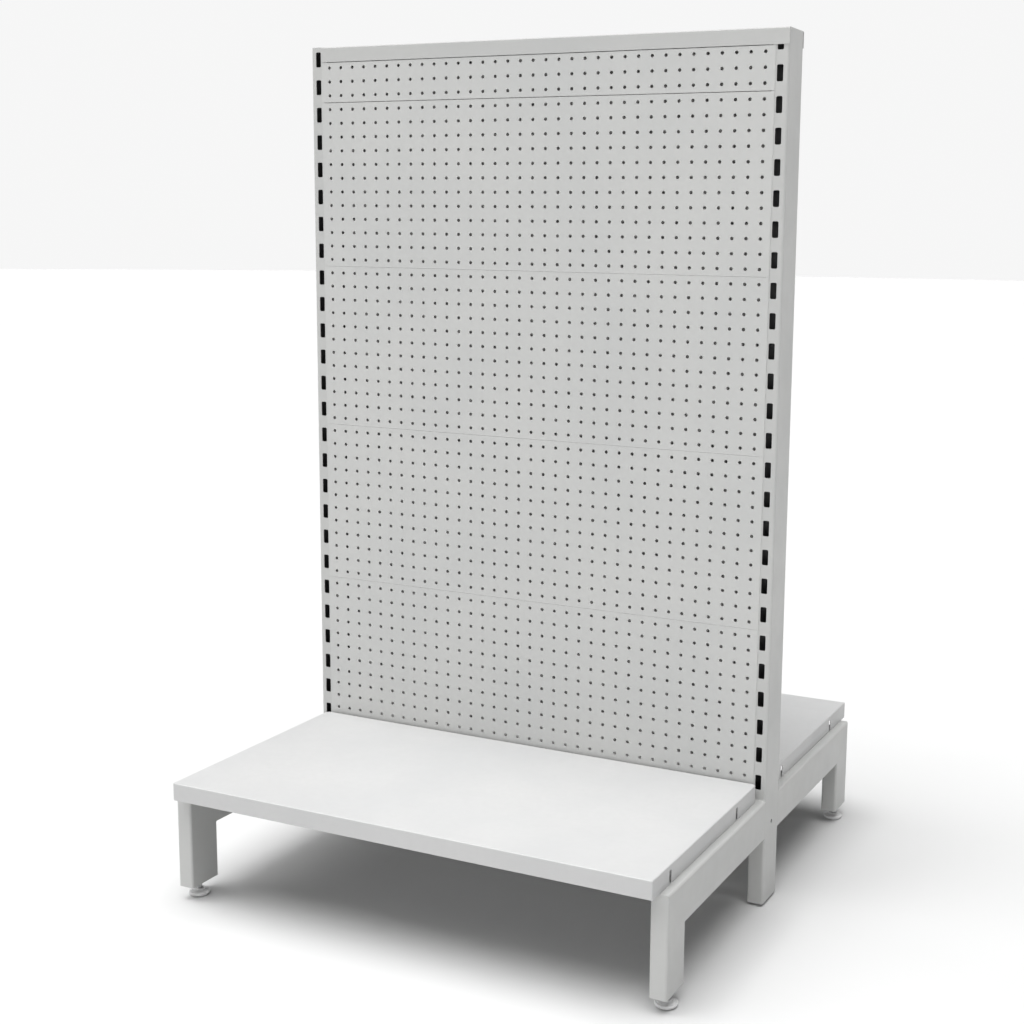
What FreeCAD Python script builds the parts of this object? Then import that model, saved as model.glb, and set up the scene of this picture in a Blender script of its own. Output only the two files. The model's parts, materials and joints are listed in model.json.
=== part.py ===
import FreeCAD, Part
import math
import os
import Sketcher
from types import SimpleNamespace

# Free-standing, double-sided panel wall bay for hanging tools and goods. Its front is
# perforated and its rear is plain.
# Row frame: X along the bay, Y from front (-Y) to rear (+Y), Z up. The origin is on
# the floor under the middle of the bay. Sub-parts are drawn where the right-hand or
# front one stands; a Placement moves or turns each copy to its own place.

DRIVING = (
    ("bay_pitch", 900, "left upright centre to right upright centre"),
    ("frame_height", 1500, "floor to top of frame"),
    ("tube_narrow", 30, "narrow side of the frame tube"),
    ("tube_wide", 70, "wide side of the frame tube"),
    ("tube_wall", 2, "frame tube wall"),
    ("tube_corner", 4, "outside corner radius of the frame tube"),
    ("post_base", 7, "lower cut end of the uprights"),
    ("slot_width", 11, "bracket slot width"),
    ("slot_height", 27, "bracket slot height"),
    ("slot_corner", 2.5, "bracket slot corner radius"),
    ("slot_pitch", 50, "bracket slot pitch"),
    ("slot_count", 26, "bracket slots in one row"),
    ("slot_top", 1478, "height of the highest slot's centre"),
    ("drain_radius", 4, "radius of the drain hole low in each upright"),
    ("drain_height", 148, "height of the drain hole"),
    ("peg_pitch", 25, "peg hole pitch, both ways"),
    ("peg_radius", 3, "peg hole radius"),
    ("peg_columns", 35, "peg hole columns"),
    ("peg_top", 1462.5, "height of the highest row of peg holes"),
    ("panel_sheet", 1, "panel sheet thickness"),
    ("rail_seam", 1.2, "gap between the top rail and the panel under it"),
    ("wide_seam", 1.2, "gap between the top panel and the next one"),
    ("fine_seam", 0.3, "gap between the other panels"),
    ("panel_width", 884, "panel face width"),
    ("pan_width", 866, "width of the folded pan between the uprights"),
    ("pan_depth", 16, "fold depth behind the panel face"),
    ("hook_sheet", 1.5, "hook thickness"),
    ("hook_depth", 9, "upright face to the outer side of a panel hook"),
    ("hook_neck", 10, "height of a hook where it passes the upright wall"),
    ("hook_drop", 8, "how far a hook's tooth hangs below its neck"),
    ("hook_reach", 6, "how far a hook stands inside the upright's inner face"),
    ("hook_play", 1, "room around a hook in its slot"),
    ("tooth_play", 0.5, "upright wall to the tooth of a hook"),
    ("rail_sheet", 1.5, "top rail sheet thickness"),
    ("rail_drop", 27, "top rail height"),
    ("rail_bend", 2.5, "outside bend radius of the top rail"),
    ("base_top", 195, "height of the base rails' upper side"),
    ("base_reach", 470, "mid-plane to the outer face of the legs"),
    ("leg_base", 26, "floor to the cut end of the legs"),
    ("shelf_sheet", 1.2, "base shelf sheet thickness"),
    ("shelf_width", 899, "base shelf width"),
    ("shelf_front", 496, "mid-plane to a base shelf's outer lip"),
    ("shelf_back", 42, "mid-plane to a base shelf's edge at the panels"),
    ("shelf_top", 226, "height of the base shelves"),
    ("shelf_rest", 0.05, "air between a base shelf's flange and the rail under it"),
    ("shelf_gap", 0.3, "air beside a lug and beside the top cap"),
    ("shelf_bend", 2, "outside bend radius of the base shelf"),
    ("shelf_return", 12, "inward fold under the shelf's outer lip"),
    ("corner_cut", 6, "bevel of a shelf's corners beside the uprights"),
    ("notch_width", 9, "notch width in a shelf's side flange"),
    ("notch_height", 22, "notch height"),
    ("notch_right_out", 427, "right flange: mid-plane to the outer notch"),
    ("notch_right_in", 138, "right flange: mid-plane to the inner notch"),
    ("notch_left_out", 392, "left flange: mid-plane to the outer notch"),
    ("notch_left_in", 95, "left flange: mid-plane to the inner notch"),
    ("lug_sheet", 3, "locating lug thickness"),
    ("lug_height", 12, "locating lug height"),
    ("lug_length", 7, "locating lug length along X"),
    ("lug_out", 350, "mid-plane to the outer locating lugs"),
    ("lug_in", 180, "mid-plane to the inner locating lugs"),
    ("hat_half", 30, "half width of the shelf stiffener's channel"),
    ("hat_flange", 12, "stiffener flange width"),
    ("hat_drop", 18, "stiffener depth"),
    ("hat_length", 892, "stiffener length"),
    ("mid_height", 778, "height of the middle cross rail's centre"),
    ("mid_side", 30, "side of the middle cross rail's square tube"),
    ("mid_step", 25, "middle cross rail's centre to its bolts, which miss the slots"),
    ("low_height", 157, "height of the bottom cross rail's centre"),
    ("low_deep", 60, "bottom cross rail tube, along Y"),
    ("low_tall", 40, "bottom cross rail tube, along Z"),
    ("low_step", 30, "bottom cross rail's centre to its bolts"),
    ("top_step", 18, "mid-plane to the top rail's bolts"),
    ("plate_sheet", 3, "cross rail end plate thickness"),
    ("plate_margin", 10, "end plate's edge to the nearest bolt's centre"),
    ("plate_drop", 28, "top of the frame to the lower edge of the top rail's end plates"),
    ("bolt_radius", 4, "cross rail bolt radius"),
    ("bolt_room", 4.5, "radius of the holes that the bolts pass"),
    ("bolt_shank", 12.5, "bolt length under the head"),
    ("head_height", 5.3, "bolt head height"),
    ("hex_radius", 7.5, "corner radius of the bolt heads and weld nuts"),
    ("nut_height", 6.5, "weld nut height"),
    ("plug_flange", 2, "post plug flange thickness"),
    ("plug_depth", 12, "how far a plug stands inside its tube"),
    ("cap_depth", 3.5, "how far the top cap stands inside its tube, above the weld nuts"),
    ("stud_radius", 5, "levelling stud radius"),
    ("stud_foot", 4, "height of the stud's lower end"),
    ("stud_length", 60, "levelling stud length"),
    ("run_room", 0.05, "radial running clearance of the stud"),
    ("insert_plate", 4, "thickness of the leg insert's plate"),
    ("boss_radius", 9, "leg insert boss radius"),
    ("boss_height", 14, "leg insert boss height"),
    ("stud_end", 1, "stud end chamfer"),
    ("pad_radius", 18.5, "foot pad radius"),
    ("pad_height", 10, "foot pad height"),
    ("pad_edge", 4, "foot pad lower edge chamfer"),
    ("pad_brow", 1, "foot pad upper edge chamfer"),
    ("pad_play", 0.3, "air between the stud's lower end and the pad"),
    ("collar_radius", 8.5, "foot pad collar radius"),
    ("collar_height", 2.5, "foot pad collar height"),
    ("cut_over", 2, "how far cutting tools reach past what they cut"),
)

SHEET = "Dimensions"
doc = FreeCAD.newDocument("PerforatedWallBay")


class Size:
    """A length that knows both its number and its spreadsheet formula."""

    def __init__(self, number, formula):
        self.number = float(number)
        self.formula = formula

    def joined(self, other, sign, number):
        return Size(number, "(%s %s %s)" % (self.formula, sign, other.formula))

    def __add__(self, other):
        other = as_size(other)
        return self.joined(other, "+", self.number + other.number)

    def __radd__(self, other):
        return as_size(other) + self

    def __sub__(self, other):
        other = as_size(other)
        return self.joined(other, "-", self.number - other.number)

    def __rsub__(self, other):
        return as_size(other) - self

    def __mul__(self, other):
        other = as_size(other)
        return self.joined(other, "*", self.number * other.number)

    def __truediv__(self, other):
        other = as_size(other)
        return self.joined(other, "/", self.number / other.number)

    def __neg__(self):
        return as_size(0) - self


def as_size(value):
    return value if isinstance(value, Size) else Size(value, repr(value))


def fill_sheet():
    """Writes the driving dimensions and returns them as named sizes."""
    sheet = doc.addObject("Spreadsheet::Sheet", SHEET)
    named = {}
    for row, (alias, number, meaning) in enumerate(DRIVING, start=1):
        sheet.set("A%d" % row, meaning)
        sheet.set("B%d" % row, repr(number))
        sheet.setAlias("B%d" % row, alias)
        named[alias] = Size(number, "%s.%s" % (SHEET, alias))
    doc.recompute()
    return SimpleNamespace(**named)


d = fill_sheet()
nodes = {}

# Sizes that several sub-parts share.
post_x = d.bay_pitch / 2
post_inner = post_x - d.tube_narrow / 2
post_outer = post_x + d.tube_narrow / 2
face_y = d.tube_wide / 2
post_top = d.frame_height - d.rail_sheet
base_low = d.base_top - d.tube_wide
leg_inner = d.base_reach - d.tube_wide
leg_mid = d.base_reach - d.tube_wide / 2
flange_base = d.base_top + d.shelf_rest
shelf_half = d.shelf_width / 2
inner_corner = d.tube_corner - d.tube_wall


# ---------------------------------------------------------------- drawing helpers
def bind(thing, prop, size):
    """Ties one property to the spreadsheet."""
    thing.setExpression(prop, as_size(size).formula)


def new_body(label):
    body = doc.addObject("PartDesign::Body", label)
    body.Label = label
    return body


def new_sketch(body, name, role, offset=0):
    """A sketch on one of the body's own origin planes, moved along the plane's normal."""
    plane = [item for item in body.Origin.OriginFeatures if item.Role == role][0]
    sketch = body.newObject("Sketcher::SketchObject", name)
    sketch.AttachmentSupport = [(plane, "")]
    sketch.MapMode = "FlatFace"
    bind(sketch, "AttachmentOffset.Base.z", offset)
    return sketch


def hold(sketch, kind, *where, size):
    """Adds one dimension to a sketch and ties it to the spreadsheet."""
    number = sketch.addConstraint(Sketcher.Constraint(kind, *where, size.number))
    bind(sketch, "Constraints[%d]" % number, size)


def polygon(sketch, corners):
    """Draws a closed outline whose corners are held from the sketch's origin."""
    corners = [(as_size(across), as_size(up)) for across, up in corners]
    points = [FreeCAD.Vector(across.number, up.number, 0) for across, up in corners]
    first = sketch.GeometryCount
    count = len(points)
    for i, point in enumerate(points):
        sketch.addGeometry(Part.LineSegment(point, points[(i + 1) % count]), False)
    for i in range(count):
        following = first + (i + 1) % count
        sketch.addConstraint(Sketcher.Constraint("Coincident", first + i, 2, following, 1))
    for i, (across, up) in enumerate(corners):
        hold(sketch, "DistanceX", -1, 1, first + i, 1, size=across)
        hold(sketch, "DistanceY", -1, 1, first + i, 1, size=up)


def rectangle(sketch, left, right, low, high):
    polygon(sketch, [(left, low), (right, low), (right, high), (left, high)])


def rounded_rectangle(sketch, left, right, low, high, radius):
    """Draws a rectangle with four equal round corners."""
    left, right, low, high = [as_size(item) for item in (left, right, low, high)]
    x0, x1, y0, y1, r = [item.number for item in (left, right, low, high, radius)]
    first = sketch.GeometryCount
    sides = (((x0 + r, y0), (x1 - r, y0)), ((x1, y0 + r), (x1, y1 - r)),
             ((x1 - r, y1), (x0 + r, y1)), ((x0, y1 - r), (x0, y0 + r)))
    for start, end in sides:
        segment = Part.LineSegment(FreeCAD.Vector(*start, 0), FreeCAD.Vector(*end, 0))
        sketch.addGeometry(segment, False)
    quarter = math.pi / 2
    middles = ((x1 - r, y0 + r), (x1 - r, y1 - r), (x0 + r, y1 - r), (x0 + r, y0 + r))
    for i, (across, up) in enumerate(middles):
        circle = Part.Circle(FreeCAD.Vector(across, up, 0), FreeCAD.Vector(0, 0, 1), r)
        arc = Part.ArcOfCircle(circle, (i - 1) * quarter, i * quarter)
        sketch.addGeometry(arc, False)
    for i in range(4):
        side, arc, following = first + i, first + 4 + i, first + (i + 1) % 4
        sketch.addConstraint(Sketcher.Constraint("Tangent", side, 2, arc, 1))
        sketch.addConstraint(Sketcher.Constraint("Tangent", arc, 2, following, 1))
        direction = "Horizontal" if i % 2 == 0 else "Vertical"
        sketch.addConstraint(Sketcher.Constraint(direction, side))
        if i:
            sketch.addConstraint(Sketcher.Constraint("Equal", first + 4, arc))
    hold(sketch, "Radius", first + 4, size=radius)
    hold(sketch, "DistanceY", -1, 1, first, 1, size=low)
    hold(sketch, "DistanceX", -1, 1, first + 1, 1, size=right)
    hold(sketch, "DistanceY", -1, 1, first + 2, 1, size=high)
    hold(sketch, "DistanceX", -1, 1, first + 3, 1, size=left)


def circle(sketch, across, up, radius):
    across, up = as_size(across), as_size(up)
    centre = FreeCAD.Vector(across.number, up.number, 0)
    shape = Part.Circle(centre, FreeCAD.Vector(0, 0, 1), radius.number)
    number = sketch.addGeometry(shape, False)
    hold(sketch, "Radius", number, size=radius)
    hold(sketch, "DistanceX", -1, 1, number, 3, size=across)
    hold(sketch, "DistanceY", -1, 1, number, 3, size=up)


def pad(body, sketch, length):
    """Adds material along the sketch plane's normal."""
    feature = body.newObject("PartDesign::Pad", sketch.Name + "_pad")
    feature.Profile = sketch
    bind(feature, "Length", length)
    sketch.Visibility = False
    return feature


def pocket(body, sketch, length=None):
    """Cuts against the plane's normal, or right through both ways with no length."""
    doc.recompute()
    before = body.Shape.Volume
    feature = body.newObject("PartDesign::Pocket", sketch.Name + "_cut")
    feature.Profile = sketch
    if length is None:
        feature.Type = "ThroughAll"
        feature.Midplane = True
    else:
        bind(feature, "Length", length)
    doc.recompute()
    if not body.Shape.Volume < before:
        raise RuntimeError("%s cuts nothing" % feature.Name)
    return feature


def line_pattern(body, feature, axis, pitch, count):
    """Repeats one feature along a sketch axis."""
    pattern = body.newObject("PartDesign::LinearPattern", feature.Name + "_row")
    pattern.Originals = [feature]
    set_direction(pattern, feature.Profile[0], axis, pitch, count)
    body.Tip = pattern
    return pattern


def grid_pattern(body, feature, steps):
    """Repeats one feature along both sketch axes."""
    pattern = body.newObject("PartDesign::MultiTransform", feature.Name + "_grid")
    parts = []
    for number, (axis, pitch, count) in enumerate(steps):
        name = "%s_step_%d" % (feature.Name, number)
        step = doc.addObject("PartDesign::LinearPattern", name)
        body.addObject(step)
        set_direction(step, feature.Profile[0], axis, pitch, count)
        parts.append(step)
    pattern.Originals = [feature]
    pattern.Transformations = parts
    body.Tip = pattern
    return pattern


def set_direction(pattern, sketch, axis, pitch, count):
    pattern.Direction = (sketch, [axis])
    bind(pattern, "Length", pitch * (count - 1))
    bind(pattern, "Occurrences", count)


def fillet(body, feature, radius, wanted):
    """Rounds the feature's edges that the test `wanted` picks by their middle point."""
    doc.recompute()
    names = []
    for number, edge in enumerate(feature.Shape.Edges, start=1):
        middle = edge.valueAt((edge.FirstParameter + edge.LastParameter) / 2)
        if wanted(middle, edge):
            names.append("Edge%d" % number)
    rounded = body.newObject("PartDesign::Fillet", feature.Name + "_bend")
    rounded.Base = (feature, names)
    bind(rounded, "Radius", radius)
    body.Tip = rounded
    return rounded


def near(one, other):
    return abs(one - as_size(other).number) < 0.01


def keep(label, thing, shift_x=0, height=0, turned=False):
    """Names a sub-part and puts it in its place, turned half round if it is a rear one."""
    thing.Label = label
    half_turn = FreeCAD.Rotation(FreeCAD.Vector(0, 0, 1), 180 if turned else 0)
    thing.Placement = FreeCAD.Placement(FreeCAD.Vector(0, 0, 0), half_turn)
    bind(thing, "Placement.Base.x", shift_x)
    bind(thing, "Placement.Base.z", height)
    nodes[label] = thing


def box(label, left, right, front, back, low, high):
    """A block between six planes."""
    block = doc.addObject("Part::Box", label)
    for prop, size in (("Length", right - left), ("Width", back - front), ("Height", high - low)):
        bind(block, prop, size)
    for prop, size in (("x", left), ("y", front), ("z", low)):
        bind(block, "Placement.Base." + prop, size)
    return block


def rod_along_x(label, kind, radius, start, length, across, up):
    """A round or hexagonal rod that runs along X from `start`."""
    rod = doc.addObject(kind, label)
    bind(rod, "Radius" if kind == "Part::Cylinder" else "Circumradius", radius)
    bind(rod, "Height", length)
    towards_x = FreeCAD.Rotation(FreeCAD.Vector(0, 1, 0), 90)
    rod.Placement = FreeCAD.Placement(FreeCAD.Vector(0, 0, 0), towards_x)
    for prop, size in (("x", start), ("y", across), ("z", up)):
        bind(rod, "Placement.Base." + prop, size)
    return rod


def compound(label, things):
    group = doc.addObject("Part::Compound", label)
    group.Links = things
    keep(label, group)


# ---------------------------------------------------------------- panels and their hooks
def row_height(row):
    return d.peg_top - d.peg_pitch * row


def below_row(row):
    """Seams and hooks sit midway between one row of peg holes and the next."""
    return row_height(row) - d.peg_pitch / 2


# Each entry: label, first row of holes, rows, lower edge, upper edge, and the rows under
# which its hooks sit.
wide, fine = d.wide_seam / 2, d.fine_seam / 2
PANELS = (
    ("panel_1", 0, 3, below_row(2) + wide, d.frame_height - d.rail_drop - d.rail_seam, (0,)),
    ("panel_2", 3, 12, below_row(14) + fine, below_row(2) - wide, (3, 13)),
    ("panel_3", 15, 12, below_row(26) + fine, below_row(14) - fine, (15, 25)),
    ("panel_4", 27, 12, below_row(38) + fine, below_row(26) - fine, (27, 37)),
    ("panel_5", 39, 12, below_row(50) + fine, below_row(38) - fine, (39, 49)),
)


hook_far = face_y - d.hook_depth
hook_near = hook_far - d.hook_sheet
neck_half = d.hook_neck / 2


def make_panel(label, first_row, rows, bottom, top, hook_rows, rear):
    """A folded pan whose face laps the uprights and whose hooks enter them.

    The front panels are perforated. The rear ones are plain, so no hole is seen through.
    """
    body = new_body(label)
    face = new_sketch(body, label + "_face", "XZ_Plane", face_y)
    rectangle(face, -d.panel_width / 2, d.panel_width / 2, bottom, top)
    pad(body, face, d.panel_sheet)

    pan = new_sketch(body, label + "_pan", "XZ_Plane", face_y - d.pan_depth)
    half, sheet = d.pan_width / 2, d.panel_sheet
    rectangle(pan, -half, half, bottom, top)
    rectangle(pan, sheet - half, half - sheet, bottom + sheet, top - sheet)
    pad(body, pan, d.pan_depth)

    hooks = new_sketch(body, label + "_hooks", "XZ_Plane", hook_near)
    tip = post_inner + d.hook_reach
    tooth = post_inner + d.tube_wall + d.tooth_play
    for row in hook_rows:
        height = below_row(row)
        for side in (-1, 1):
            outline = [(half, neck_half), (tip, neck_half), (tip, -neck_half - d.hook_drop),
                       (tooth, -neck_half - d.hook_drop), (tooth, -neck_half), (half, -neck_half)]
            polygon(hooks, [(across * side, height + up) for across, up in outline[::side]])
    pad(body, hooks, d.hook_sheet)

    if not rear:
        peg = new_sketch(body, label + "_peg", "XZ_Plane", face_y)
        first_column = -d.peg_pitch * (d.peg_columns - 1) / 2
        circle(peg, first_column, row_height(first_row + rows - 1), d.peg_radius)
        hole = pocket(body, peg)
        grid_pattern(body, hole, (("H_Axis", d.peg_pitch, d.peg_columns),
                                  ("V_Axis", d.peg_pitch, as_size(rows))))
    keep(label, body, turned=rear)


# ---------------------------------------------------------------- uprights
# Bolts of the three cross rails, as (distance from the mid-plane, height).
top_bolt_height = d.frame_height - d.rail_drop / 2
centre = as_size(0)
BOLTS = {
    "top": ((-d.top_step, top_bolt_height), (d.top_step, top_bolt_height)),
    "middle": ((centre, d.mid_height - d.mid_step), (centre, d.mid_height + d.mid_step)),
    "bottom": ((centre, d.low_height - d.low_step), (centre, d.low_height + d.low_step)),
}


def make_upright(label, turned):
    """A slotted tube: bracket slots front and rear, hook slots and bolt holes inside."""
    body = new_body(label)
    profile = new_sketch(body, label + "_profile", "XY_Plane", d.post_base)
    rounded_rectangle(profile, post_inner, post_outer, -face_y, face_y, d.tube_corner)
    wall = d.tube_wall
    rounded_rectangle(profile, post_inner + wall, post_outer - wall,
                      wall - face_y, face_y - wall, inner_corner)
    pad(body, profile, post_top - d.post_base)

    slot = new_sketch(body, label + "_slot", "XZ_Plane")
    lowest = d.slot_top - d.slot_pitch * (d.slot_count - 1)
    half_wide, half_tall = d.slot_width / 2, d.slot_height / 2
    rounded_rectangle(slot, post_x - half_wide, post_x + half_wide,
                      lowest - half_tall, lowest + half_tall, d.slot_corner)
    line_pattern(body, pocket(body, slot), "V_Axis", d.slot_pitch, d.slot_count)

    inner_wall = post_inner + wall + d.cut_over
    cut = wall + d.cut_over * 2
    hooks = new_sketch(body, label + "_hook_slots", "YZ_Plane", inner_wall)
    for panel in PANELS:
        for row in panel[-1]:
            low = below_row(row) - neck_half
            high = low + d.hook_neck + d.hook_drop + d.hook_play
            edges = (hook_near - d.hook_play, hook_far + d.hook_play)
            rectangle(hooks, edges[0], edges[1], low, high)
            rectangle(hooks, -edges[1], -edges[0], low, high)
    pocket(body, hooks, cut)

    holes = new_sketch(body, label + "_bolt_holes", "YZ_Plane", inner_wall)
    for bolts in BOLTS.values():
        for across, up in bolts:
            circle(holes, across, up, d.bolt_room)
    pocket(body, holes, cut)

    drain = new_sketch(body, label + "_drain", "YZ_Plane", post_outer + d.cut_over)
    circle(drain, 0, d.drain_height, d.drain_radius)
    pocket(body, drain, cut)
    keep(label, body, turned=turned)


# ---------------------------------------------------------------- base rails, legs, feet
def make_base_rail(label, shift_x, turned):
    """A tube from the upright's face to the mitred corner over the leg."""
    body = new_body(label)
    profile = new_sketch(body, label + "_profile", "XZ_Plane", face_y)
    wall = d.tube_wall
    rounded_rectangle(profile, post_inner, post_outer, base_low, d.base_top, d.tube_corner)
    rounded_rectangle(profile, post_inner + wall, post_outer - wall,
                      base_low + wall, d.base_top - wall, inner_corner)
    pad(body, profile, d.base_reach - face_y)
    over = d.cut_over
    mitre = new_sketch(body, label + "_mitre", "YZ_Plane", post_x)
    polygon(mitre, [(over - leg_inner, base_low - over), (-d.base_reach - over, d.base_top + over),
                    (-d.base_reach - over, base_low - over)])
    pocket(body, mitre)
    keep(label, body, shift_x, turned=turned)


def make_leg(label, shift_x, turned):
    """The upright tube at the outer end of a base rail, mitred to it at the top."""
    body = new_body(label)
    profile = new_sketch(body, label + "_profile", "XY_Plane", d.leg_base)
    wall = d.tube_wall
    rounded_rectangle(profile, post_inner, post_outer, -d.base_reach, -leg_inner, d.tube_corner)
    rounded_rectangle(profile, post_inner + wall, post_outer - wall,
                      wall - d.base_reach, -leg_inner - wall, inner_corner)
    pad(body, profile, d.base_top - d.leg_base)
    over = d.cut_over
    mitre = new_sketch(body, label + "_mitre", "YZ_Plane", post_x)
    polygon(mitre, [(over - leg_inner, base_low - over), (over - leg_inner, d.base_top + over),
                    (-d.base_reach - over, d.base_top + over)])
    pocket(body, mitre)
    keep(label, body, shift_x, turned=turned)


def make_leg_insert(label, shift_x, turned):
    """The threaded plate and boss inside the leg's lower end."""
    body = new_body(label)
    plate = new_sketch(body, label + "_plate", "XY_Plane", d.leg_base)
    wall = d.tube_wall
    rounded_rectangle(plate, post_inner + wall, post_outer - wall,
                      wall - d.base_reach, -leg_inner - wall, inner_corner)
    pad(body, plate, d.insert_plate)
    boss = new_sketch(body, label + "_boss", "XY_Plane", d.leg_base + d.insert_plate)
    circle(boss, post_x, -leg_mid, d.boss_radius)
    pad(body, boss, d.boss_height)
    bore = new_sketch(body, label + "_bore", "XY_Plane", d.leg_base)
    circle(bore, post_x, -leg_mid, d.stud_radius + d.run_room)
    pocket(body, bore)
    keep(label, body, shift_x, turned=turned)


def turned_body(label, outline, shift_x, turned):
    """A body of revolution about the foot's own upright axis, drawn over the origin."""
    body = new_body(label)
    sketch = new_sketch(body, label + "_outline", "XZ_Plane", leg_mid)
    polygon(sketch, outline)
    spin = body.newObject("PartDesign::Revolution", label + "_spin")
    spin.Profile = sketch
    spin.ReferenceAxis = (sketch, ["V_Axis"])
    spin.Angle = 360
    side = -1 if turned else 1
    keep(label, body, post_x * side + shift_x, turned=turned)


def make_foot_pad(label, shift_x, turned):
    """A round glide with a socket that the stud turns in."""
    bore = d.stud_radius + d.run_room
    rim, edge, brow, top = d.pad_radius, d.pad_edge, d.pad_brow, d.pad_height
    collar_top = top + d.collar_height
    floor = d.stud_foot - d.pad_play
    turned_body(label, [(0, 0), (rim - edge, 0), (rim, edge), (rim, top - brow),
                        (rim - brow, top), (d.collar_radius, top),
                        (d.collar_radius, collar_top), (bore, collar_top), (bore, floor),
                        (0, floor)], shift_x, turned)


def make_stud(label, shift_x, turned):
    """The threaded stud that carries the pad, with chamfered ends."""
    r, low = d.stud_radius, d.stud_foot
    high, chamfer = low + d.stud_length, d.stud_end
    turned_body(label, [(0, low), (r - chamfer, low), (r, low + chamfer), (r, high - chamfer),
                        (r - chamfer, high), (0, high)], shift_x, turned)


def make_plug(label, turned, low, flange, spigot_low, spigot, trim=None):
    """A moulded plug: a flange over the tube's end and a spigot inside it."""
    body = new_body(label)
    plate = new_sketch(body, label + "_flange", "XY_Plane", low)
    rounded_rectangle(plate, post_inner, post_outer, -face_y, face_y, d.tube_corner)
    pad(body, plate, flange)
    inner = new_sketch(body, label + "_spigot", "XY_Plane", spigot_low)
    wall = d.tube_wall
    rounded_rectangle(inner, post_inner + wall, post_outer - wall,
                      wall - face_y, face_y - wall, inner_corner)
    pad(body, inner, spigot)
    if trim is not None:
        cut = new_sketch(body, label + "_trim", "XY_Plane", d.frame_height)
        rectangle(cut, post_inner - d.cut_over, trim, -d.tube_wide, d.tube_wide)
        pocket(body, cut, flange)
    keep(label, body, turned=turned)


# ---------------------------------------------------------------- cross rails
def make_top_rail():
    """A channel over the panels' upper edges; its right end runs on over the upright."""
    body = new_body("top_rail")
    start = -d.panel_width / 2
    outer, sheet, high = face_y + d.rail_sheet, d.rail_sheet, d.frame_height
    low = high - d.rail_drop
    profile = new_sketch(body, "top_rail_profile", "YZ_Plane", start)
    polygon(profile, [(-outer, low), (-face_y, low), (-face_y, high - sheet), (face_y, high - sheet),
                      (face_y, low), (outer, low), (outer, high), (-outer, high)])
    channel = pad(body, profile, post_outer - start)
    fillet(body, channel, d.rail_bend,
           lambda middle, edge: near(abs(middle.y), outer) and near(middle.z, high))
    keep("top_rail", body)


def make_cross_tube(label, height, deep, tall, wall):
    """A hidden rectangular tube between the end plates."""
    body = new_body(label)
    start = post_inner - d.plate_sheet
    profile = new_sketch(body, label + "_profile", "YZ_Plane", -start)
    corner = wall * 2
    rounded_rectangle(profile, -deep / 2, deep / 2, height - tall / 2, height + tall / 2, corner)
    rounded_rectangle(profile, wall - deep / 2, deep / 2 - wall,
                      height - tall / 2 + wall, height + tall / 2 - wall, corner - wall)
    pad(body, profile, start * 2)
    keep(label, body)


def make_end_plates(label, bolts, half_deep, low, high):
    """The two plates at the ends of one cross rail, with their bolt holes."""
    plates = []
    for side, name in ((-1, "left"), (1, "right")):
        near_x = post_inner * side
        far_x = (post_inner - d.plate_sheet) * side
        edges = (near_x, far_x) if side < 0 else (far_x, near_x)
        plate = box("%s_%s" % (label, name), edges[0], edges[1], -half_deep, half_deep, low, high)
        for number, (across, up) in enumerate(bolts):
            tool = rod_along_x("%s_%s_hole_%d" % (label, name, number), "Part::Cylinder",
                               d.bolt_room, edges[0] - d.cut_over,
                               d.plate_sheet + d.cut_over * 2, across, up)
            drilled = doc.addObject("Part::Cut", "%s_%s_cut_%d" % (label, name, number))
            drilled.Base = plate
            drilled.Tool = tool
            plate = drilled
        plates.append(plate)
    compound(label, plates)


def make_fasteners():
    """Hexagon bolts through the end plates and the nuts welded inside the uprights."""
    bolts, nuts = [], []
    under_head = post_inner - d.plate_sheet
    nut_near = post_inner + d.tube_wall
    places = [place for pair in BOLTS.values() for place in pair]
    for side in (-1, 1):
        for number, (across, up) in enumerate(places):
            tag = "%s_%d" % ("left" if side < 0 else "right", number)
            along = -1 if side < 0 else 0
            head_at = (under_head - d.head_height) * side + d.head_height * along
            shank_at = under_head * side + d.bolt_shank * along
            nut_at = nut_near * side + d.nut_height * along
            head = rod_along_x("bolt_head_" + tag, "Part::Prism", d.hex_radius,
                               head_at, d.head_height, across, up)
            shank = rod_along_x("bolt_shank_" + tag, "Part::Cylinder", d.bolt_radius,
                                shank_at, d.bolt_shank, across, up)
            bolt = doc.addObject("Part::Fuse", "bolt_" + tag)
            bolt.Base, bolt.Tool = head, shank
            block = rod_along_x("nut_block_" + tag, "Part::Prism", d.hex_radius,
                                nut_at, d.nut_height, across, up)
            bore = rod_along_x("nut_bore_" + tag, "Part::Cylinder", d.bolt_radius,
                               nut_at - d.cut_over, d.nut_height + d.cut_over * 2, across, up)
            nut = doc.addObject("Part::Cut", "nut_" + tag)
            nut.Base, nut.Tool = block, bore
            bolts.append(bolt)
            nuts.append(nut)
    compound("cross_rail_bolts", bolts)
    compound("weld_nuts", nuts)


# ---------------------------------------------------------------- base shelves
BEVEL_LOSS = 2 - math.sqrt(2)  # how much a 45 degree bevel shortens for each unit of inset


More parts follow.
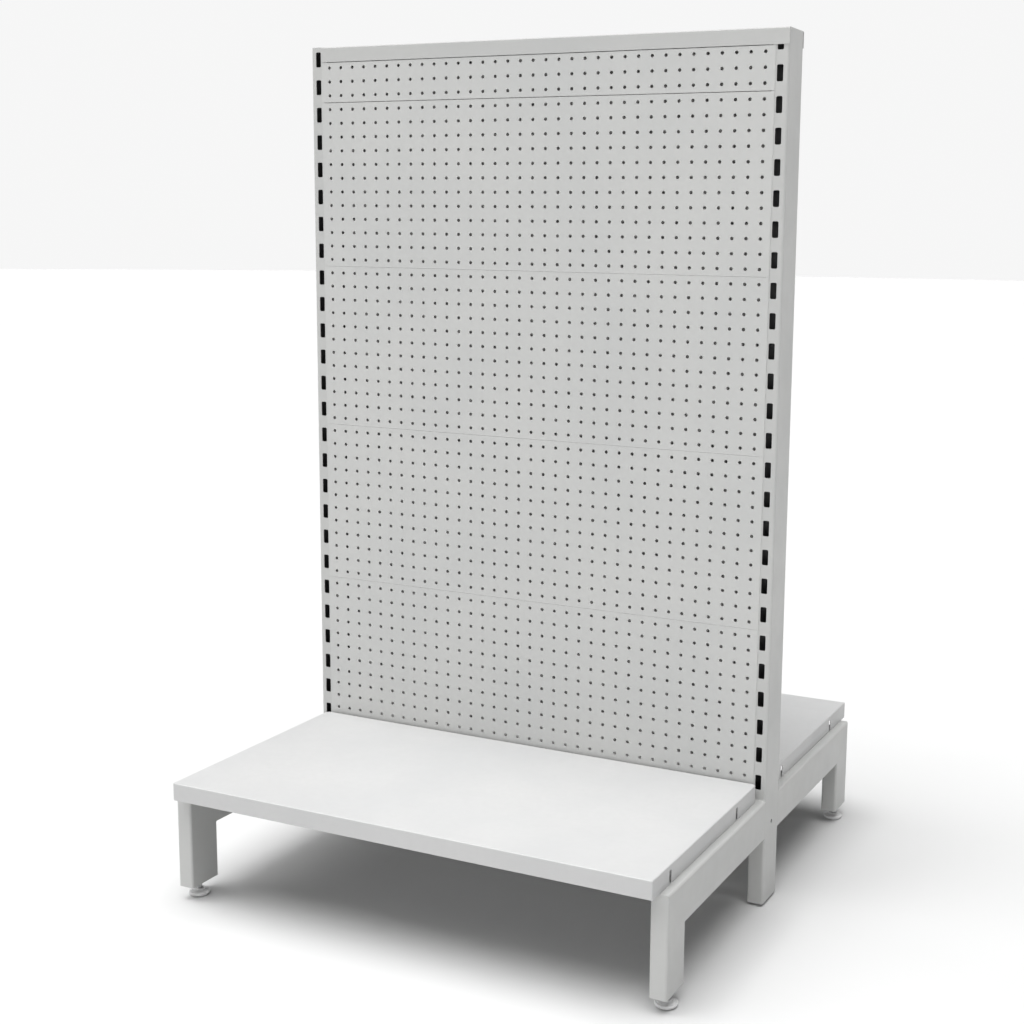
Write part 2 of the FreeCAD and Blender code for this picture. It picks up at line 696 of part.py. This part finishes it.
def make_shelf(label, turned):
    """A folded tray whose side flanges stand on the base rails."""
    body = new_body(label)
    sheet = d.shelf_sheet

    def plan(inset):
        side, front, back = shelf_half - inset, inset - d.shelf_front, -d.shelf_back - inset
        bevel = d.corner_cut - inset * BEVEL_LOSS
        half = [(side, front), (side, back - bevel), (side - bevel, back)]
        return half + [(-across, up) for across, up in half[::-1]]

    outline = new_sketch(body, label + "_plan", "XY_Plane", flange_base)
    polygon(outline, plan(as_size(0)))
    tray = pad(body, outline, d.shelf_top - flange_base)

    def outer_bend(middle, edge):
        on_top = near(middle.z, d.shelf_top)
        lip_or_side = near(middle.y, -d.shelf_front) or near(abs(middle.x), shelf_half)
        return lip_or_side and (on_top or near(edge.Length, d.shelf_top - flange_base)
                                and near(middle.y, -d.shelf_front))

    fillet(body, tray, d.shelf_bend, outer_bend)
    hollow = new_sketch(body, label + "_hollow", "XY_Plane", d.shelf_top - sheet)
    polygon(hollow, plan(sheet))
    pocket(body, hollow, d.shelf_top - flange_base)

    fold = new_sketch(body, label + "_return", "XY_Plane", flange_base)
    rectangle(fold, sheet - shelf_half, shelf_half - sheet, sheet - d.shelf_front,
              sheet + d.shelf_return - d.shelf_front)
    pad(body, fold, sheet)

    for side, places in ((1, (d.notch_right_out, d.notch_right_in)),
                         (-1, (d.notch_left_out, d.notch_left_in))):
        over = d.cut_over
        start = shelf_half + over if side > 0 else sheet + over - shelf_half
        tag = "right" if side > 0 else "left"
        notches = new_sketch(body, "%s_%s_notches" % (label, tag), "YZ_Plane", start)
        for place in places:
            rectangle(notches, -place - d.notch_width / 2, d.notch_width / 2 - place,
                      flange_base - over, flange_base + d.notch_height)
        pocket(body, notches, sheet + over * 2)
    keep(label, body, turned=turned)


def make_stiffener(label, turned):
    """A hat channel under the middle of a base shelf."""
    body = new_body(label)
    middle = -(d.shelf_front + d.shelf_back) / 2
    top = d.shelf_top - d.shelf_sheet
    sheet, drop = d.shelf_sheet, d.hat_drop
    channel, rim = d.hat_half, d.hat_half + d.hat_flange
    right = [(rim, -sheet), (rim, as_size(0)), (channel, as_size(0)), (channel, sheet - drop)]
    below = [(channel + sheet, -sheet), (channel + sheet, -drop)]
    outline = right + [(-across, up) for across, up in right[::-1]]
    outline += [(-across, up) for across, up in below] + below[::-1]
    profile = new_sketch(body, label + "_profile", "YZ_Plane", -d.hat_length / 2)
    polygon(profile, [(middle + across, top + up) for across, up in outline])
    pad(body, profile, d.hat_length)
    keep(label, body, turned=turned)


def make_lugs():
    """Small plates on the base rails that stop the shelves sliding sideways."""
    lugs = []
    far = shelf_half - d.shelf_sheet - d.shelf_gap
    corners = (("front_right", 1, -1), ("front_left", -1, -1),
               ("rear_left", -1, 1), ("rear_right", 1, 1))
    for name, side, depth in corners:
        edges = (far - d.lug_length, far) if side > 0 else (-far, d.lug_length - far)
        for tag, place in (("outer", d.lug_out), ("inner", d.lug_in)):
            middle = place * depth
            lugs.append(box("lug_%s_%s" % (name, tag), edges[0], edges[1],
                            middle - d.lug_sheet / 2, middle + d.lug_sheet / 2,
                            d.base_top, d.base_top + d.lug_height))
    compound("shelf_locating_lugs", lugs)


# ---------------------------------------------------------------- assembly
CORNERS = (("front_right", 0, False), ("front_left", -d.bay_pitch, False),
           ("rear_left", 0, True), ("rear_right", d.bay_pitch, True))


def build():
    make_upright("right_upright", False)
    make_upright("left_upright", True)
    for corner, shift_x, turned in CORNERS:
        make_base_rail(corner + "_base_rail", shift_x, turned)
        make_leg(corner + "_leg", shift_x, turned)
        make_leg_insert(corner + "_leg_insert", shift_x, turned)
        make_foot_pad(corner + "_foot_pad", shift_x, turned)
        make_stud(corner + "_foot_stud", shift_x, turned)
    for name, turned in (("right", False), ("left", True)):
        make_plug(name + "_post_plug", turned, d.post_base - d.plug_flange, d.plug_flange,
                  d.post_base, d.plug_depth)
    make_plug("left_top_cap", True, post_top, d.rail_sheet, post_top - d.cap_depth, d.cap_depth,
              trim=d.panel_width / 2 + d.shelf_gap)

    make_top_rail()
    make_cross_tube("middle_cross_rail", d.mid_height, d.mid_side, d.mid_side, d.rail_sheet)
    make_cross_tube("bottom_cross_rail", d.low_height, d.low_deep, d.low_tall, d.tube_wall)
    make_end_plates("top_rail_end_plates", BOLTS["top"], face_y,
                    d.frame_height - d.plate_drop, post_top)
    for name, half_deep, height, step in (
            ("middle", d.mid_side / 2, d.mid_height, d.mid_step),
            ("bottom", d.low_deep / 2, d.low_height, d.low_step)):
        reach = step + d.plate_margin
        make_end_plates(name + "_rail_end_plates", BOLTS[name], half_deep,
                        height - reach, height + reach)
    make_fasteners()

    for label, *sizes in PANELS:
        make_panel("front_" + label, *sizes, rear=False)
        make_panel("rear_" + label, *sizes, rear=True)

    make_lugs()
    for name, turned in (("front", False), ("rear", True)):
        make_shelf(name + "_base_shelf", turned)
        make_stiffener(name + "_shelf_stiffener", turned)


def check():
    """Stops if any object failed or any sub-part is empty or broken."""
    doc.recompute()
    for thing in doc.Objects:
        if "Invalid" in thing.State or "Error" in thing.State:
            raise RuntimeError("%s failed to build" % thing.Label)
    for label, thing in nodes.items():
        if thing.Shape.isNull() or not thing.Shape.isValid():
            raise RuntimeError("%s has no valid shape" % label)


def export():
    os.makedirs("parts", exist_ok=True)
    for label, thing in nodes.items():
        thing.Shape.exportStep("parts/%s.step" % label)
        print("%-28s %10.0f mm3" % (label, thing.Shape.Volume))


build()
check()
export()
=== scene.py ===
import json
import math

import bmesh
import bpy
from mathutils import Matrix, Vector


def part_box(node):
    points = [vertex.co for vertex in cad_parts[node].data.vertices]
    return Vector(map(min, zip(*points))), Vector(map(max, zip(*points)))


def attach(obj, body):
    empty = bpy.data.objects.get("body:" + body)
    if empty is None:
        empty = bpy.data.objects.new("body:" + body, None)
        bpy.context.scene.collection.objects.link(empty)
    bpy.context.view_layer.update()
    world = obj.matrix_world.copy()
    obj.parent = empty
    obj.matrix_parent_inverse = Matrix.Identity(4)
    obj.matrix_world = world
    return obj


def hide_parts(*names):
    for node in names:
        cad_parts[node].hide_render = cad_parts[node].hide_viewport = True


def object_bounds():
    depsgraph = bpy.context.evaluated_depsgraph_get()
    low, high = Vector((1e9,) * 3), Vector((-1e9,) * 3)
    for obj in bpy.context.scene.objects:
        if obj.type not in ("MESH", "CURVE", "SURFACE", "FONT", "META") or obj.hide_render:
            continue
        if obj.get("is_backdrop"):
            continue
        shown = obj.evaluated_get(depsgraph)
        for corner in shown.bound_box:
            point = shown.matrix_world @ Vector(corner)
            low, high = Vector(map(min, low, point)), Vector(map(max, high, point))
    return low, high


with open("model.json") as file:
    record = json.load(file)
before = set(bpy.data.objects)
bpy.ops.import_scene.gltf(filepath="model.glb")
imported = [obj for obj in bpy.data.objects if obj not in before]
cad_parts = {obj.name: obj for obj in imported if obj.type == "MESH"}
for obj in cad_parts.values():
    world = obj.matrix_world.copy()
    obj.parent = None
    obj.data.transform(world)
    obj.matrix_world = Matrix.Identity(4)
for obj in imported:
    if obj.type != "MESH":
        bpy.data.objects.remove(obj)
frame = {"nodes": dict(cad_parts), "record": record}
cad_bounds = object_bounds()

# Free-standing panel wall bay, in metres: X along the bay, -Y towards the front, Z up.
MM = 0.001
CORNERS = ("front_right", "front_left", "rear_left", "rear_right")


# ---------------------------------------------------------------- node helpers
class Shader:
    """A material, and short ways to add and join its nodes."""

    def __init__(self, name):
        self.material = bpy.data.materials.new(name)
        self.material.use_nodes = True
        self.tree = self.material.node_tree
        self.surface = self.tree.nodes["Principled BSDF"]
        self.place = self.add("ShaderNodeTexCoord").outputs["Object"]

    def add(self, kind, **settings):
        node = self.tree.nodes.new(kind)
        for key, value in settings.items():
            setattr(node, key, value)
        return node

    def join(self, start, end):
        self.tree.links.new(start, end)

    def maths(self, operation, first, second=None, third=None, clamp=False):
        node = self.add("ShaderNodeMath", operation=operation, use_clamp=clamp)
        for socket, value in zip(node.inputs, (first, second, third)):
            if value is None:
                continue
            if isinstance(value, (int, float)):
                socket.default_value = value
            else:
                self.join(value, socket)
        return node.outputs[0]

    def split(self):
        """The place on the object as separate X, Y and Z."""
        node = self.add("ShaderNodeSeparateXYZ")
        self.join(self.place, node.inputs[0])
        return node.outputs

    def noise(self, size, detail=2.0, stretch=(1, 1, 1), seed=0.0, rough=0.5):
        """Noise whose blobs are about `size` metres across, drawn out by `stretch`."""
        scale = self.add("ShaderNodeMapping")
        scale.inputs["Scale"].default_value = [1 / (size * s) for s in stretch]
        scale.inputs["Location"].default_value = (seed, seed * 1.7, seed * 2.3)
        self.join(self.place, scale.inputs["Vector"])
        texture = self.add("ShaderNodeTexNoise")
        texture.inputs["Scale"].default_value = 1.0
        texture.inputs["Detail"].default_value = detail
        texture.inputs["Roughness"].default_value = rough
        self.join(scale.outputs["Vector"], texture.inputs["Vector"])
        return texture.outputs["Fac"]

    def ramp(self, value, low, high, out_low=0.0, out_high=1.0):
        """Maps low..high smoothly to out_low..out_high and holds it there outside."""
        node = self.add("ShaderNodeMapRange", interpolation_type="SMOOTHSTEP", clamp=True)
        for key, number in (("From Min", low), ("From Max", high),
                            ("To Min", out_low), ("To Max", out_high)):
            node.inputs[key].default_value = number
        self.join(value, node.inputs["Value"])
        return node.outputs["Result"]

    def blend(self, share, first, second):
        """Mixes two colours; each is a colour or a socket."""
        node = self.add("ShaderNodeMix", data_type="RGBA")
        self.join(share, node.inputs["Factor"])
        for socket, value in ((node.inputs[6], first), (node.inputs[7], second)):
            if isinstance(value, tuple):
                socket.default_value = (*value, 1.0)
            else:
                self.join(value, socket)
        return node.outputs[2]

    def bump(self, height, depth, under=None):
        node = self.add("ShaderNodeBump")
        node.inputs["Distance"].default_value = depth
        self.join(height, node.inputs["Height"])
        if under is not None:
            self.join(under, node.inputs["Normal"])
        return node.outputs["Normal"]


# ---------------------------------------------------------------- materials
NEUTRAL = (0.998, 1.0, 0.999)
GREENISH = (0.994, 1.0, 0.982)


def grey(level, warm=0.0, tint=NEUTRAL):
    """A grey of this level, `warm` redder and less blue than its tint."""
    return tuple(level * share for share in (tint[0] + warm, tint[1], tint[2] - warm))


# Sizes and depths of the powder coat's marks, in metres.
COAT_MOTTLE, COAT_SPECK, COAT_SCUFF, COAT_GLOSS = 0.22, 0.012, 0.006, 0.05
COAT_WAVE, COAT_WAVE_DEPTH = 0.16, 0.0004
COAT_PEEL, COAT_PEEL_DEPTH = 0.0016, 0.00003
INSIDE_ROUGHER = 0.25


def powder_coat(name, tone, roughness, streak=(1, 1, 1), tint=GREENISH, inside=None,
                inside_tone_and_painted_light=0.035):
    """Satin powder coat on steel, with orange peel, faint mottling and small scuffs.

    `inside` picks out the hidden sides of a hollow piece, which get a level of their own:
    painted shade inside the uprights, where the steel is bare, and painted light behind the
    panels' holes.
    """
    s = Shader(name)
    mottle = s.noise(COAT_MOTTLE, 3.0)
    speck = s.noise(COAT_SPECK, 2.0, seed=3.1)
    scuff = s.noise(COAT_SCUFF, 3.0, stretch=streak, seed=7.7, rough=0.6)
    colour = s.blend(s.ramp(mottle, 0.3, 0.7), grey(tone * 0.975, -0.004, tint),
                     grey(tone * 1.02, 0.002, tint))
    colour = s.blend(s.ramp(speck, 0.35, 0.75, 0.0, 0.35), colour, grey(tone * 0.955, 0, tint))
    colour = s.blend(s.ramp(scuff, 0.70, 0.80, 0.0, 0.25), colour, grey(tone * 0.80, 0.01))
    gloss = s.ramp(s.noise(COAT_GLOSS, 3.0, seed=1.3), 0.3, 0.7,
                   roughness - 0.05, roughness + 0.06)
    normal = s.bump(s.noise(COAT_WAVE, 1.0, seed=9.0), COAT_WAVE_DEPTH)
    normal = s.bump(s.noise(COAT_PEEL, 1.0, seed=5.0), COAT_PEEL_DEPTH, normal)
    if inside:
        # The hidden sides take a flat level: painted shade inside the uprights, painted light
        # behind the panels.
        share = inside(s)
        colour = s.blend(share, colour, grey(inside_tone_and_painted_light, 0.01))
        gloss = s.maths("MULTIPLY_ADD", share, INSIDE_ROUGHER, gloss, clamp=True)
    s.join(colour, s.surface.inputs["Base Color"])
    s.join(gloss, s.surface.inputs["Roughness"])
    s.join(normal, s.surface.inputs["Normal"])
    s.surface.inputs["IOR"].default_value = 1.5
    return s.material


# Where the hidden sides of the uprights and panels begin, in metres; the first number of each
# pair is wholly inside and the second wholly outside.
UPRIGHT_X = 0.45
TUBE_INSIDE_X = (0.0132, 0.0138)
TUBE_INSIDE_Y = (0.0332, 0.0342)
PANEL_INSIDE_Y = (0.0351, 0.0355)


def tube_painted_shade_mask(s):
    """1 on the inner walls of the uprights, just behind their outer skin, where their painted
    shade goes.
    """
    x, y, _ = s.split()
    off_x = s.maths("ABSOLUTE", s.maths("SUBTRACT", s.maths("ABSOLUTE", x), UPRIGHT_X))
    in_x = s.ramp(off_x, *TUBE_INSIDE_X, 1.0, 0.0)
    in_y = s.ramp(s.maths("ABSOLUTE", y), *TUBE_INSIDE_Y, 1.0, 0.0)
    return s.maths("MULTIPLY", in_x, in_y)


def panel_painted_light_mask(s):
    """1 on the inner sides of the folded panels, behind their faces, where their painted light
    goes.
    """
    return s.ramp(s.maths("ABSOLUTE", s.split()[1]), *PANEL_INSIDE_Y, 1.0, 0.0)


def zinc_plate(name):
    """Bright zinc plate: cool metal with cloudy spangle and fine turning marks."""
    s = Shader(name)
    cloud, patches = s.noise(0.006, 4.0), s.noise(0.002, 3.0, seed=2.0)
    marks = s.noise(0.0006, 2.0, stretch=(6, 6, 0.6), seed=4.0)
    colour = s.blend(s.ramp(cloud, 0.3, 0.7), grey(0.54, -0.02), grey(0.66, 0.01))
    s.join(colour, s.surface.inputs["Base Color"])
    s.join(s.ramp(patches, 0.3, 0.7, 0.24, 0.42), s.surface.inputs["Roughness"])
    s.join(s.bump(marks, 0.00001), s.surface.inputs["Normal"])
    s.surface.inputs["Metallic"].default_value = 1.0
    return s.material


def moulded_plastic(name, tone, roughness):
    """Moulded plastic with a fine spark-eroded grain."""
    s = Shader(name)
    cloud, grain = s.noise(0.01, 3.0), s.noise(0.0004, 2.0, seed=2.0)
    s.join(s.blend(s.ramp(cloud, 0.3, 0.7), grey(tone * 0.96), grey(tone * 1.04)),
           s.surface.inputs["Base Color"])
    s.join(s.bump(grain, 0.00002), s.surface.inputs["Normal"])
    s.join(s.ramp(grain, 0.2, 0.8, roughness - 0.06, roughness + 0.06),
           s.surface.inputs["Roughness"])
    return s.material


TONE = 0.515
FRAME_TONE, FRAME_ROUGHNESS = TONE * 0.93, 0.42
materials = {
    "frame_paint": powder_coat("frame_paint", FRAME_TONE, FRAME_ROUGHNESS),
    # The uprights' paint turns their inner walls near black: painted shade inside the tubes,
    # on bare steel.
    "upright_paint_with_painted_shade": powder_coat("upright_paint_with_painted_shade", FRAME_TONE, FRAME_ROUGHNESS,
                                 inside=tube_painted_shade_mask),
    # The panels' hidden sides are near white: painted light seen through their holes.
    "panel_paint": powder_coat("panel_paint", TONE, 0.44, inside=panel_painted_light_mask,
                               inside_tone_and_painted_light=0.95),
    "shelf_paint": powder_coat("shelf_paint", TONE, 0.48, streak=(6, 1, 1), tint=NEUTRAL),
    "zinc_steel": zinc_plate("zinc_steel"),
    "foot_pad_plastic": moulded_plastic("foot_pad_plastic", 0.68, 0.32),
    "plug_plastic": moulded_plastic("plug_plastic", TONE * 0.92, 0.5),
}
slot_of = {row["node"]: row["material_slot"] for row in frame["record"]["subparts"]}
for node, thing in frame["nodes"].items():
    # Uprights take the paint that carries painted shade on their inner walls.
    name = "upright_paint_with_painted_shade" if node.endswith("_upright") else slot_of[node]
    thing.data.materials.clear()
    thing.data.materials.append(materials[name])


# ---------------------------------------------------------------- pieces
def new_piece(mesh, body, slot, *nodes):
    """A piece named after its mesh, which rides on a body and may replace CAD nodes."""
    piece = bpy.data.objects.new(mesh.name, mesh)
    bpy.context.scene.collection.objects.link(piece)
    mesh.materials.append(materials[slot])
    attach(piece, body)
    if nodes:
        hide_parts(*nodes)


def finish_mesh(name, form):
    mesh = bpy.data.meshes.new(name)
    form.to_mesh(mesh)
    form.free()
    return mesh


THREAD_PITCH = 1.5 * MM
THREAD_DEPTH = 0.61 * THREAD_PITCH
THREAD_RINGS = 12       # rings of points in one turn
THREAD_AROUND = 40      # points in one ring
FLANK, ROOT_FLAT = 1.4, 0.15    # steepness of the thread's sides and how flat its root is
STUD_LEAD = 1 * MM      # chamfer at both ends


def stud_mesh(name, low, high, radius):
    """A right-hand thread drawn as rings of points whose radius follows the helix."""
    rings = int(round((high - low) / THREAD_PITCH * THREAD_RINGS))
    form = bmesh.new()
    rows = []
    for i in range(rings + 1):
        z = low + (high - low) * i / rings
        end = min(z - low, high - z)
        row = []
        for j in range(THREAD_AROUND):
            turn = j / THREAD_AROUND
            phase = ((z - low) / THREAD_PITCH - turn) % 1.0
            crest = min(1.0, max(0.0, abs(phase * 2 - 1) * FLANK - ROOT_FLAT))
            r = radius - THREAD_DEPTH * (1 - crest)
            r = min(r, radius - STUD_LEAD + end)
            angle = turn * math.tau
            row.append(form.verts.new((r * math.cos(angle), r * math.sin(angle), z)))
        rows.append(row)
    for lower, upper in zip(rows, rows[1:]):
        for j in range(THREAD_AROUND):
            k = (j + 1) % THREAD_AROUND
            form.faces.new((lower[j], lower[k], upper[k], upper[j]))
    form.faces.new(rows[0][::-1])
    form.faces.new(rows[-1])
    for face in form.faces:
        face.smooth = len(face.verts) == 4
    return finish_mesh(name, form)


def lathe(name, profile, around=72, sharp=50):
    """Turns (radius, height) points round Z; the first and last lie on the axis.

    Edges that bend more than `sharp` degrees are drawn sharp.
    """
    form = bmesh.new()
    rows = []
    for radius, height in profile:
        count = around if radius > 0 else 1
        rows.append([form.verts.new((radius * math.cos(i * math.tau / around),
                                     radius * math.sin(i * math.tau / around), height))
                     for i in range(count)])
    for lower, upper in zip(rows, rows[1:]):
        for i in range(around):
            ring = [row[i % len(row)] for row in (lower, upper)]
            ring += [row[(i + 1) % len(row)] for row in (upper, lower)]
            form.faces.new(list(dict.fromkeys(ring)))
    bmesh.ops.recalc_face_normals(form, faces=form.faces)
    mesh = finish_mesh(name, form)
    mesh.shade_smooth()
    mesh.set_sharp_from_angle(angle=math.radians(sharp))
    return mesh


# Levelling glide, (radius, height) in millimetres from the middle of its underside: a rounded
# shoe, a crowned top with a shallow ring near its rim, and a collar round the stud.
GLIDE = ((0, 0), (12.6, 0), (14.4, 0.4), (16.0, 1.3), (17.3, 2.6), (18.1, 4.0), (18.5, 5.4),
         (18.5, 6.6), (18.2, 7.5), (17.6, 8.1), (16.7, 8.5), (16.1, 8.6), (15.8, 8.35),
         (15.4, 8.35), (15.1, 8.75), (13.0, 9.2), (10.6, 9.7), (9.5, 10.1), (8.9, 10.7),
         (8.6, 11.5), (8.3, 12.1), (7.7, 12.5), (5.7, 12.5), (5.2, 12.2), (5.1, 4.0), (0, 3.9))
for corner in CORNERS:
    low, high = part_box(corner + "_foot_stud")
    middle = (low + high) / 2
    stud = stud_mesh(corner + "_threaded_stud", low.z, high.z, (high.x - low.x) / 2)
    glide = lathe(corner + "_glide", [(r * MM, z * MM) for r, z in GLIDE])
    for mesh in (stud, glide):
        mesh.transform(Matrix.Translation((middle.x, middle.y, 0)))
    new_piece(stud, corner + "_stud", "zinc_steel", corner + "_foot_stud")
    new_piece(glide, corner + "_pad", "foot_pad_plastic", corner + "_foot_pad")


def beads_mesh(name, beads):
    """One mesh of closed beads; each bead is a row of loops with the same number of points."""
    form = bmesh.new()
    for loops in beads:
        rows = [[form.verts.new(point) for point in loop] for loop in loops]
        for lower, upper in zip(rows, rows[1:]):
            for i in range(len(lower)):
                k = (i + 1) % len(lower)
                form.faces.new((lower[i], lower[k], upper[k], upper[i]))
        form.faces.new(rows[0][::-1])
        form.faces.new(rows[-1])
    bmesh.ops.recalc_face_normals(form, faces=form.faces)
    mesh = finish_mesh(name, form)
    mesh.shade_smooth()
    return mesh


# The joint of a base rail and an upright, in millimetres.
UPRIGHT_FACE = 35.0                     # mid-plane to the upright's face
RAIL_HALF = 15.0                        # half width of the rail
RAIL_LOW, RAIL_HIGH = 125.0, 195.0
RAIL_CORNER = 4.0
CORNER_POINTS = 13                      # points round one corner of the rail
SIDE_STEP = 0.45                        # between loops of a side bead
SIDE_START, SIDE_WIDTH = 30.4, 6.4      # where a side bead starts, and its width along Y
SIDE_POINTS = 13                        # points across a side bead
SIDE_ROOT, SIDE_ROOT_FACE = 2.5, 1.5    # how deep its root lies: in the rail, in the upright
SIDE_EDGE, SIDE_RISE = 0.25, 0.42       # how far its edges sink, and its height over them
SIDE_FULLNESS = 1.7                     # over 1, its slopes are short and its top is flat
SIDE_RIPPLE, SIDE_RIPPLE_PITCH = 0.035, 1.5     # height and spacing of its ripples
SIDE_RIPPLE_BOW = 0.35                  # how much a ripple trails behind off the middle
FILLET_LEG, FILLET_HALF = 2.4, 12.4     # its reach on each face, and half its length
FILLET_HOLLOW = 0.80                    # how far its face curves in, as a share of its leg
FILLET_TOE = 0.2                        # how far its edges sink into the steel
FILLET_RIPPLE, FILLET_RIPPLE_PITCH = 0.10, 1.6
FILLET_SINK = 0.6                       # how far a fillet's root lies inside the steel
FILLET_LOOPS, FILLET_POINTS = 56, 9


def side_outline():
    """Points (x, z, normal) up the rounded corners and the straight side of a rail."""
    outline = []
    for centre_z, start in ((RAIL_LOW + RAIL_CORNER, -90), (RAIL_HIGH - RAIL_CORNER, 0)):
        for i in range(CORNER_POINTS):
            turn = math.radians(start + i * 90 / (CORNER_POINTS - 1))
            normal = (math.cos(turn), math.sin(turn))
            outline.append((RAIL_HALF - RAIL_CORNER + RAIL_CORNER * normal[0],
                            centre_z + RAIL_CORNER * normal[1], normal))
        if start < 0:
            straight = RAIL_HIGH - RAIL_LOW - 2 * RAIL_CORNER
            count = int(straight / SIDE_STEP)
            outline += [(RAIL_HALF, centre_z + straight * i / count, (1.0, 0.0))
                        for i in range(1, count)]
    return outline


def side_bead(place, edge):
    """A bead, ground almost flush, in the groove on one side of the rail."""
    loops = []
    for number, (x, z, normal) in enumerate(side_outline()):
        loop = [place(edge * (x - SIDE_ROOT * normal[0]), UPRIGHT_FACE - SIDE_ROOT_FACE,
                      z - SIDE_ROOT * normal[1])]
        wave = number * SIDE_STEP / SIDE_RIPPLE_PITCH * math.tau
        for i in range(SIDE_POINTS):
            share = i / (SIDE_POINTS - 1)
            y = SIDE_START + SIDE_WIDTH * share
            swell = math.sin(math.pi * share)
            off_middle = SIDE_WIDTH * (share - 0.5)
            ripple = SIDE_RIPPLE * math.sin(wave - SIDE_RIPPLE_BOW * off_middle ** 2)
            lift = SIDE_RISE * min(1.0, SIDE_FULLNESS * swell) - SIDE_EDGE + ripple * swell
            loop.append(place(edge * (x + lift * normal[0]), y, z + lift * normal[1]))
        loops.append(loop)
    return loops


def fillet_bead(place, height, rise):
    """A hollow fillet across the rail's top or bottom."""
    loops = []
    for i in range(FILLET_LOOPS):
        along = 2 * FILLET_HALF * i / (FILLET_LOOPS - 1)
        x = -FILLET_HALF + along
        ripple = FILLET_RIPPLE * math.sin(along / FILLET_RIPPLE_PITCH * math.tau)
        loop = [place(x, UPRIGHT_FACE - FILLET_SINK, height - FILLET_SINK * rise)]
        for j in range(FILLET_POINTS):
            turn = math.radians(90 * j / (FILLET_POINTS - 1))
            swell = ripple * math.sin(2 * turn) - FILLET_TOE
            reach = FILLET_LEG * (1 - FILLET_HOLLOW * math.sin(turn)) + swell
            lift = FILLET_LEG * (1 - FILLET_HOLLOW * math.cos(turn)) + swell
            loop.append(place(x, UPRIGHT_FACE + reach, height + lift * rise))
        loops.append(loop)
    return loops


def rail_weld(name, side, depth):
    """The weld round one rail's end; `side` is the sign of X and `depth` the sign of Y."""
    def place(x, y, z):
        return (side * UPRIGHT_X + x * MM, depth * y * MM, z * MM)

    beads = [side_bead(place, edge) for edge in (-1, 1)]
    beads += [fillet_bead(place, RAIL_HIGH, 1), fillet_bead(place, RAIL_LOW, -1)]
    new_piece(beads_mesh(name, beads), "root", "frame_paint")


for corner in CORNERS:
    rail_weld(corner + "_rail_weld", 1 if corner.endswith("right") else -1,
              1 if corner.startswith("rear") else -1)


# ---------------------------------------------------------------- floor, light and camera
FLOOR_RADIUS = 40
SKY_LEVEL, SKY_TOP_LEVEL = 0.925, 0.04
SKY_FADE = (0.20, 0.34)         # sines of the heights between which the sky darkens


def make_floor():
    form = bmesh.new()
    bmesh.ops.create_circle(form, cap_ends=True, segments=96, radius=FLOOR_RADIUS)
    mesh = finish_mesh("floor", form)
    floor = bpy.data.objects.new("floor", mesh)
    bpy.context.scene.collection.objects.link(floor)
    s = Shader("floor")
    cloud = s.noise(0.5, 3.0)
    s.join(s.blend(s.ramp(cloud, 0.3, 0.7), grey(0.64), grey(0.65)),
           s.surface.inputs["Base Color"])
    s.surface.inputs["Roughness"].default_value = 0.9
    s.surface.inputs["Specular IOR Level"].default_value = 0.1
    mesh.materials.append(s.material)
    floor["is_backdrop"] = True


def make_sky():
    """Pale all round the horizon and darker overhead, where the lamps do the work."""
    world = bpy.data.worlds.new("studio")
    bpy.context.scene.world = world
    world.use_nodes = True
    tree = world.node_tree
    coords = tree.nodes.new("ShaderNodeTexCoord")
    split = tree.nodes.new("ShaderNodeSeparateXYZ")
    tree.links.new(coords.outputs["Generated"], split.inputs[0])
    fade = tree.nodes.new("ShaderNodeMapRange")
    fade.interpolation_type = "SMOOTHSTEP"
    for key, number in (("From Min", SKY_FADE[0]), ("From Max", SKY_FADE[1]),
                        ("To Min", SKY_LEVEL), ("To Max", SKY_TOP_LEVEL)):
        fade.inputs[key].default_value = number
    tree.links.new(split.outputs["Z"], fade.inputs["Value"])
    background = tree.nodes["Background"]
    background.inputs["Color"].default_value = (1, 1, 1, 1)
    tree.links.new(fade.outputs["Result"], background.inputs["Strength"])


def make_sun(name, azimuth, elevation, strength, spread):
    """A soft lamp far away; azimuth 0 is in front of the object and 90 is to its right."""
    lamp = bpy.data.lights.new(name, "SUN")
    lamp.energy = strength
    lamp.angle = math.radians(spread)
    thing = bpy.data.objects.new(name, lamp)
    bpy.context.scene.collection.objects.link(thing)
    a, e = math.radians(azimuth), math.radians(elevation)
    towards = Vector((math.sin(a) * math.cos(e), -math.cos(a) * math.cos(e), math.sin(e)))
    thing.rotation_mode = "QUATERNION"
    thing.rotation_quaternion = towards.to_track_quat("Z", "Y")


def make_camera(place, azimuth, down, roll, length, shift):
    """A camera at `place`, `azimuth` degrees to the right of the front, looking `down`."""
    azimuth, down, roll = math.radians(azimuth), math.radians(down), math.radians(roll)
    ahead = Vector((-math.sin(azimuth) * math.cos(down), math.cos(azimuth) * math.cos(down),
                    -math.sin(down)))
    right = Vector((math.cos(azimuth), math.sin(azimuth), 0))
    up = right.cross(ahead)
    right = (right * math.cos(roll) + up * math.sin(roll)).normalized()
    up = right.cross(ahead)
    lens = bpy.data.cameras.new("camera")
    lens.sensor_width = 36
    lens.lens = length
    lens.shift_x, lens.shift_y = shift
    camera = bpy.data.objects.new("camera", lens)
    bpy.context.scene.collection.objects.link(camera)
    turn = Matrix((right, up, -ahead)).transposed().to_4x4()
    camera.matrix_world = Matrix.Translation(place) @ turn
    bpy.context.scene.camera = camera


make_floor()
make_sky()
make_sun("top", 8, 80, 3.65, 55)
make_sun("left", -70, 50, 1.35, 50)
make_sun("front", -10, 12, 0.26, 30)
make_camera((1.2927, -2.4906, 1.1736), azimuth=25.18, down=9.38, roll=0.75, length=54.51,
            shift=(-0.0859, -0.0252))
bpy.context.scene.view_settings.view_transform = "Standard"

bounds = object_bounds()
[[list(corner) for corner in pair] for pair in (cad_bounds, bounds)]
